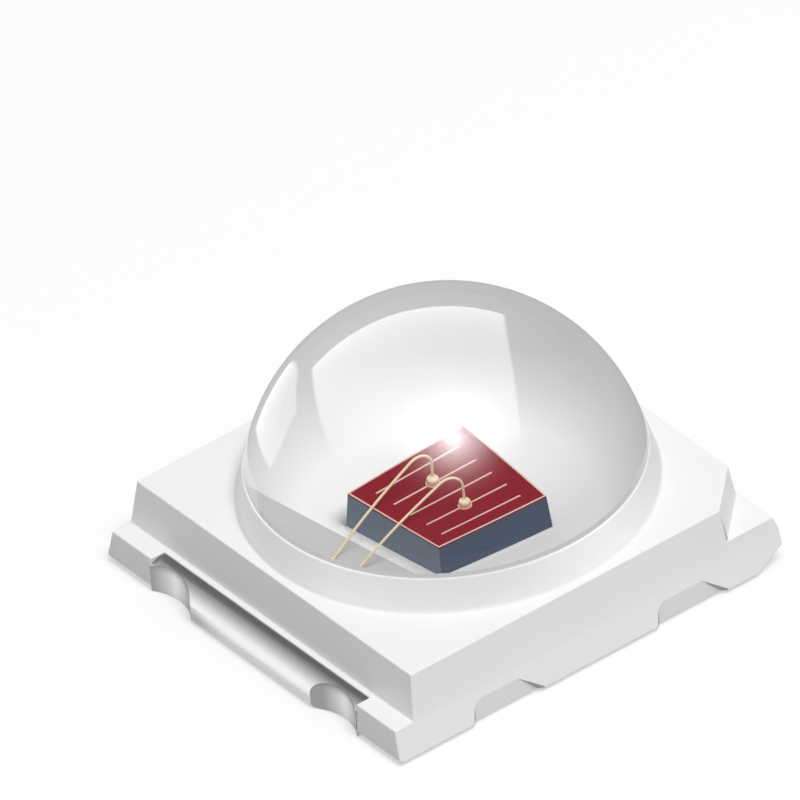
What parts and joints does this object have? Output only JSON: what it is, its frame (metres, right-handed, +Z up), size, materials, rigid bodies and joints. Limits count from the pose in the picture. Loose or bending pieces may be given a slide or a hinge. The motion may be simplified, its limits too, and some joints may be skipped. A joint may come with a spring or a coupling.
{
  "type": "surface mount led",
  "caption": "Surface-mount LED: a clear domed lens over a square chip and its bond wires, in a white moulded housing with a flat solder terminal at each end.",
  "frame": {"origin": "on the lens axis, in the plane of the solder pads", "axes": "+Z up along the lens axis, -X towards the lead that takes the bond wires, the polarity corner at +X, -Y"},
  "size_m": [0.0038, 0.0036, 0.0023],
  "materials": {
    "white_moulding": "fine satin, as moulded",
    "clear_lens": "polished, clear",
    "plated_lead": "bright silver plate",
    "chip_base": "sawn and smooth",
    "chip_top": "smooth, deep red",
    "electrode_metal": "thin gold film",
    "bond_wire_gold": "drawn gold, bright",
    "bonding_layer": "dull"
  },
  "bodies": {
    "root": {"housing": "white_moulding", "lens": "clear_lens", "wire_bond_lead": "plated_lead", "die_pad_lead": "plated_lead", "die_attach": "bonding_layer", "chip_body": "chip_base", "light_layer": "chip_top", "edge_electrode": "electrode_metal", "finger_1": "electrode_metal", "finger_2": "electrode_metal", "finger_3": "electrode_metal", "finger_4": "electrode_metal", "finger_5": "electrode_metal", "bond_wire_1": "bond_wire_gold", "bond_wire_2": "bond_wire_gold"}
  },
  "joints": []
}
